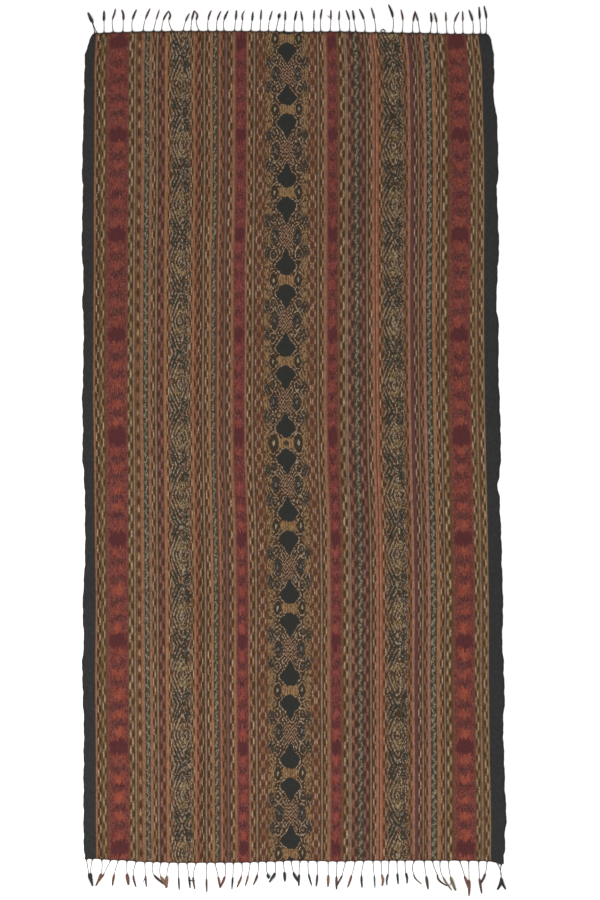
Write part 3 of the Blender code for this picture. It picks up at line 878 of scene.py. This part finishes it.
def tuft_tree():
    """Turns lines into tufts: many loose yarn ends around each line, as wide as its girth."""
    tree = bpy.data.node_groups.new("loose tuft", "GeometryNodeTree")
    open_sockets(tree, {
        "Lines": "Geometry", "Ends": "Int", "Thread": "Float", "Seed": "Int", "Yarn": "Material",
    })
    given = add(tree, "NodeGroupInput")
    curve = add(tree, "GeometryNodeMeshToCurve", {0: given.outputs["Lines"]})
    inputs = {"Geometry": curve.outputs[0], "Amount": given.outputs["Ends"]}
    many = add(tree, "GeometryNodeDuplicateElements", inputs, domain="SPLINE")
    inputs = {0: (-1.0, -1.0, 0.0), 1: (1.0, 1.0, 1.4), "Seed": given.outputs["Seed"]}
    splay = add(tree, "FunctionNodeRandomValue", inputs, data_type="FLOAT_VECTOR")
    kept = add(tree, "GeometryNodeStoreNamedAttribute", {
        "Geometry": many.outputs[0], "Name": "splay", "Value": splay.outputs[0],
    }, data_type="FLOAT_VECTOR", domain="CURVE")
    own = add(tree, "GeometryNodeInputNamedAttribute", {"Name": "splay"}, data_type="FLOAT_VECTOR")
    girth = add(tree, "GeometryNodeInputNamedAttribute", {"Name": "girth"}, data_type="FLOAT")
    inputs = {0: own.outputs[0], 3: girth.outputs[0]}
    stray = add(tree, "ShaderNodeVectorMath", inputs, operation="SCALE")
    inputs = {"Geometry": kept.outputs[0], "Offset": stray.outputs[0]}
    moved = add(tree, "GeometryNodeSetPosition", inputs)
    ring = add(tree, "GeometryNodeCurvePrimitiveCircle", {"Resolution": 3, "Radius": 1.0})
    swept = add(tree, "GeometryNodeCurveToMesh", {
        "Curve": moved.outputs[0], "Profile Curve": ring.outputs[0], "Scale": given.outputs["Thread"],
        "Fill Caps": True,
    })
    whole = add(tree, "GeometryNodeRealizeInstances", {0: swept.outputs[0]})
    inputs = {"Geometry": whole.outputs[0], "Material": given.outputs["Yarn"]}
    done = add(tree, "GeometryNodeSetMaterial", inputs)
    add(tree, "NodeGroupOutput", {0: done.outputs[0]})
    return tree


def lines_mesh(name, lines):
    """A mesh of open lines, each point with its girth and its dye."""
    mesh = bpy.data.meshes.new(name)
    points = [point for line in lines for point in line]
    edges = []
    start = 0
    for line in lines:
        edges += [(start + step, start + step + 1) for step in range(len(line) - 1)]
        start += len(line)
    mesh.from_pydata([tuple(point[0] * MM) for point in points], edges, [])
    girths = [point[1] * MM for point in points]
    dyes = [level for point in points for level in point[2]]
    mesh.attributes.new("girth", "FLOAT", "POINT").data.foreach_set("value", girths)
    mesh.attributes.new("dye", "FLOAT_COLOR", "POINT").data.foreach_set("color", dyes)
    return mesh


def grown(name, lines, tree, settings):
    """Runs a tree over lines and returns the plain mesh that it makes, as a piece."""
    source = bpy.data.objects.new(name + "_lines", lines_mesh(name + "_lines", lines))
    bpy.context.scene.collection.objects.link(source)
    modifier = source.modifiers.new("grow", "NODES")
    modifier.node_group = tree
    for socket in tree.interface.items_tree:
        if socket.name in settings:
            modifier[socket.identifier] = settings[socket.name]
    view = bpy.context.evaluated_depsgraph_get()
    mesh = bpy.data.meshes.new_from_object(source.evaluated_get(view), depsgraph=view)
    bpy.data.objects.remove(source)
    mesh.name = name
    mesh.polygons.foreach_set("use_smooth", [True] * len(mesh.polygons))
    piece = bpy.data.objects.new(name, mesh)
    bpy.context.scene.collection.objects.link(piece)
    return piece


def cotton_yarn():
    """Twisted cotton yarn ends: matt and hairy, with painted shade for the groove where the plies
    meet, done by painting one ply of each cord darker than the other.
    """
    material = bpy.data.materials.new("twisted cotton yarn")
    material.use_nodes = True
    tree = material.node_tree
    tree.nodes.clear()
    dye = add(tree, "ShaderNodeAttribute", attribute_name="dye").outputs["Color"]
    ply = Amount(tree, add(tree, "ShaderNodeAttribute", attribute_name="ply").outputs["Fac"])
    place = add(tree, "ShaderNodeTexCoord").outputs["Object"]
    fuzz = add(tree, "ShaderNodeTexNoise", {"Vector": place, "Scale": 700.0, "Detail": 2.0})
    fuzz = Amount(tree, fuzz.outputs[0])
    # Painted shade: one ply comes out darker than the other and turns with the twist, like a shaded
    # groove.
    tone = ply * 0.4 + fuzz * 0.8 + 0.4
    grey = add(tree, "ShaderNodeCombineColor", {0: tone, 1: tone, 2: tone}).outputs[0]
    inputs = {0: 1.0, 6: dye, 7: grey}
    colour = add(tree, "ShaderNodeMix", inputs, data_type="RGBA", blend_type="MULTIPLY")
    bump = add(tree, "ShaderNodeBump", {"Height": fuzz, "Distance": 0.0005, "Strength": 0.6})
    shader = add(tree, "ShaderNodeBsdfPrincipled", {
        "Base Color": colour.outputs[2], "Normal": bump.outputs[0], "Roughness": 0.9,
        "Specular IOR Level": 0.2, "Sheen Weight": 0.15,
    })
    add(tree, "ShaderNodeOutputMaterial", {0: shader.outputs[0]})
    return material


# How half a cord's width changes along it: its stem, in millimetres from the root to the knot, and
# as shares of its tuft's own the wound core and the loose ends past the knot, and the round knot.

KNOT = 0.56                # a knot's place, as a share of its cord's length
STEM_GIRTHS = ((0.0, 2.3), (0.04, 1.5), (0.12, 1.1), (0.5, 0.95), (0.55, 1.1))
CORE_SHARES = ((0.0, 0.72), (0.14, 1.0), (0.45, 0.92), (0.8, 0.5), (1.0, 0.2))
LOOSE_SHARES = ((0.0, 0.5), (0.12, 0.95), (0.35, 1.0), (0.7, 0.8), (1.0, 0.45))
BALL_SHARES = (
    (0.7, 0.25), (0.73, 0.5), (0.78, 0.87), (0.85, 1.0), (0.92, 0.87), (0.97, 0.5), (1.0, 0.1),
)


def cord_place(cord, tuft, along, start, outward, height):
    """Where a cord's middle lies, a share of the way from its root to its tip."""
    loose = past_knot(along)
    across = cord.root + cord.lean * along ** LEAN_CURVE
    across += (cord.bow + tuft.pull) * math.sin(math.pi * along)
    across += tuft.shift * loose + tuft.bulge * math.sin(math.pi * loose)
    return Vector((across, start + outward * cord.reach * along, height))


def past_knot(along):
    """How far into its tuft a place on a cord is, from 0 to 1."""
    return max(0.0, along - KNOT) / (1.0 - KNOT)


def share_at(table, place):
    """What a table of places and values gives at a place."""
    return between([row[0] for row in table], [row[1] for row in table], place)


def cord_girth(cord, tuft, along):
    """Half a cord's width: its stem, then the knot and the wound part of its tuft, or a ball."""
    if cord.form == "knot" and along > 0.7:
        return tuft.thick * share_at(BALL_SHARES, along)
    if cord.form == "knot" or along < KNOT:
        return share_at(STEM_GIRTHS, along)
    return tuft.thick * share_at(CORE_SHARES, past_knot(along))


def cord_line(cord, tuft, start, outward, stem, dye):
    """A cord from its root to the end of its tuft's wound core, each point on the floor."""
    line = []
    for step in range(34):
        along = step / 33
        girth = cord_girth(cord, tuft, along)
        shade = dye if along > KNOT - 0.04 else stem
        line.append((cord_place(cord, tuft, along, start, outward, girth), girth, shade))
    return line


def loop_line(cord, start, outward, dye):
    """A warp end that was pulled back: a low loop that lies against the twined row."""
    line = []
    for step in range(9):
        turn = math.pi * step / 8
        across = cord.root - 5.5 * math.cos(turn)
        line.append((Vector((across, start + outward * cord.reach * math.sin(turn), 1.8)), 1.6, dye))
    return line


def fork_line(cord, tuft, start, outward, dye):
    """A second tip, of the yarn that parts from a tuft."""
    parts, across, further = tuft.fork
    base = cord_place(cord, tuft, KNOT + parts * (1.0 - KNOT), start, outward, 2.0)
    tip = base + Vector((across, outward * further, -0.8))
    line = []
    for step in range(7):
        share = step / 6
        line.append((base.lerp(tip, share), 1.5 - 0.8 * share, dye))
    return line


def tuft_line(cord, tuft, start, outward, dye):
    """The line that a tuft's loose ends are gathered round."""
    line = []
    for step in range(9):
        along = KNOT - 0.01 + (1.01 - KNOT) * step / 8
        girth = tuft.thick * share_at(LOOSE_SHARES, past_knot(along))
        line.append((cord_place(cord, tuft, along, start, outward, 0.5), girth, dye))
    return line


STEM_DYE = "#5a4a42"       # a cord's stem is half this and half its tuft's dye
ROW_DYES = {"upper": "#392c26", "lower": "#4f3a31"}
CORD_LOOK = {"Turn": 0.007, "Step": 0.001}
TUFT_LOOK = {"Ends": 16, "Thread": 0.0005, "Seed": 5}


def twined_row(cords, edge, span, outward, dye):
    """The twined row that locks the last weft, drawn out a little where each cord leaves it."""
    row = []
    steps = round((span[1] - span[0]) / 3.0)
    for step in range(steps + 1):
        across = span[0] + (span[1] - span[0]) * step / steps
        drawn = max(math.exp(-((across - cord.root) / 4.5) ** 2) for cord in cords)
        up = edge(across) + outward * (drawn * 1.6 - 0.9 - EDGING_WIDTH / 2.0)
        row.append((Vector((across, up, 1.6)), 1.6, dye))
    return row


def build_fringe(end, cords, looks, edge, span, outward, growers):
    """One end's twined row and cords, and the tufts of loose yarn that the cords end in."""
    cord_grower, tuft_grower, yarn = growers
    lines = [twined_row(cords, edge, span, outward, dyed(ROW_DYES[end]))]
    tufts = []
    for cord, tuft in zip(cords, looks):
        start = edge(cord.root)
        dye = dyed(YARNS[tuft.dye])
        stem = tuple(0.5 * level + 0.5 * other for level, other in zip(dye, dyed(STEM_DYE)))
        if cord.form == "loop":
            lines.append(loop_line(cord, start, outward, stem))
            continue
        lines.append(cord_line(cord, tuft, start, outward, stem, dye))
        if tuft.fork:
            lines.append(fork_line(cord, tuft, start, outward, dye))
        if cord.form != "knot":
            tufts.append(tuft_line(cord, tuft, start, outward, dye))
    corded = grown(end + "_cords", lines, cord_grower, {**CORD_LOOK, "Yarn": yarn})
    loose = grown(end + "_tufts", tufts, tuft_grower, {**TUFT_LOOK, "Yarn": yarn})
    return corded, loose


# The room


def build_floor():
    """A plain matt white floor that gives no gloss back, wide enough for any view."""
    mesh = bpy.data.meshes.new("floor")
    reach = 60.0
    below = -0.0002
    corners = [(-reach, -reach), (reach, -reach), (reach, reach), (-reach, reach)]
    mesh.from_pydata([(x, y, below) for x, y in corners], [], [(0, 1, 2, 3)])
    material = bpy.data.materials.new("matt white studio floor")
    material.use_nodes = True
    shader = material.node_tree.nodes["Principled BSDF"]
    shader.inputs["Base Color"].default_value = (0.96, 0.96, 0.96, 1.0)
    shader.inputs["Roughness"].default_value = 0.9
    shader.inputs["Specular IOR Level"].default_value = 0.1
    mesh.materials.append(material)
    floor = bpy.data.objects.new("floor", mesh)
    bpy.context.scene.collection.objects.link(floor)
    return floor


def light_studio():
    """A white room, with one broad soft lamp from the lower left to lift the weave."""
    scene = bpy.context.scene
    world = bpy.data.worlds.new("pale studio")
    world.use_nodes = True
    background = world.node_tree.nodes["Background"]
    background.inputs[0].default_value = (1.0, 1.0, 1.0, 1.0)
    background.inputs[1].default_value = 0.85
    scene.world = world
    lamp = bpy.data.lights.new("soft lamp", "AREA")
    lamp.shape = "SQUARE"
    lamp.size = 2.4
    lamp.energy = 95.0
    holder = bpy.data.objects.new("soft lamp", lamp)
    holder.location = (-1.3, -1.5, 3.1)
    holder.rotation_euler = (-holder.location).to_track_quat("-Z", "Y").to_euler()
    scene.collection.objects.link(holder)


PICTURE_LENGTH = 2.25      # metres of floor from the photo's upper edge to its lower
PICTURE_MIDDLE = (0.014875, 0.00025)


def place_camera():
    """Straight above the cloth, as the photo was taken."""
    scene = bpy.context.scene
    lens = bpy.data.cameras.new("camera")
    lens.lens = 85.0
    lens.sensor_width = 36.0
    camera = bpy.data.objects.new("camera", lens)
    camera.location = (*PICTURE_MIDDLE, PICTURE_LENGTH * lens.lens / lens.sensor_width)
    scene.collection.objects.link(camera)
    scene.camera = camera
    scene.view_settings.view_transform = "Standard"


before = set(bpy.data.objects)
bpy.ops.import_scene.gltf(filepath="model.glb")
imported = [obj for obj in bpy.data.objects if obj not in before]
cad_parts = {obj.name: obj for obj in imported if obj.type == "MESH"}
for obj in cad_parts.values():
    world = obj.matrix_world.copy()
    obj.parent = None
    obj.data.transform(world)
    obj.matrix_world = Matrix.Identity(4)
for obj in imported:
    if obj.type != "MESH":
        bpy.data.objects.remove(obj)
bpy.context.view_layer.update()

place_camera()
light_studio()
build_floor()

cloth = build_cloth()
growers = (twist_tree(), tuft_tree(), cotton_yarn())
upper = build_fringe("upper", UPPER_CORDS, UPPER_TUFTS, upper_edge, UPPER_SPAN, 1.0, growers)
lower = build_fringe("lower", LOWER_CORDS, LOWER_TUFTS, lower_edge, LOWER_SPAN, -1.0, growers)

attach(cloth, "root")
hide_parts("ikat_cloth")
for pieces, node in ((upper, "fringe_top"), (lower, "fringe_bottom")):
    for piece in pieces:
        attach(piece, "root")
        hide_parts(node)
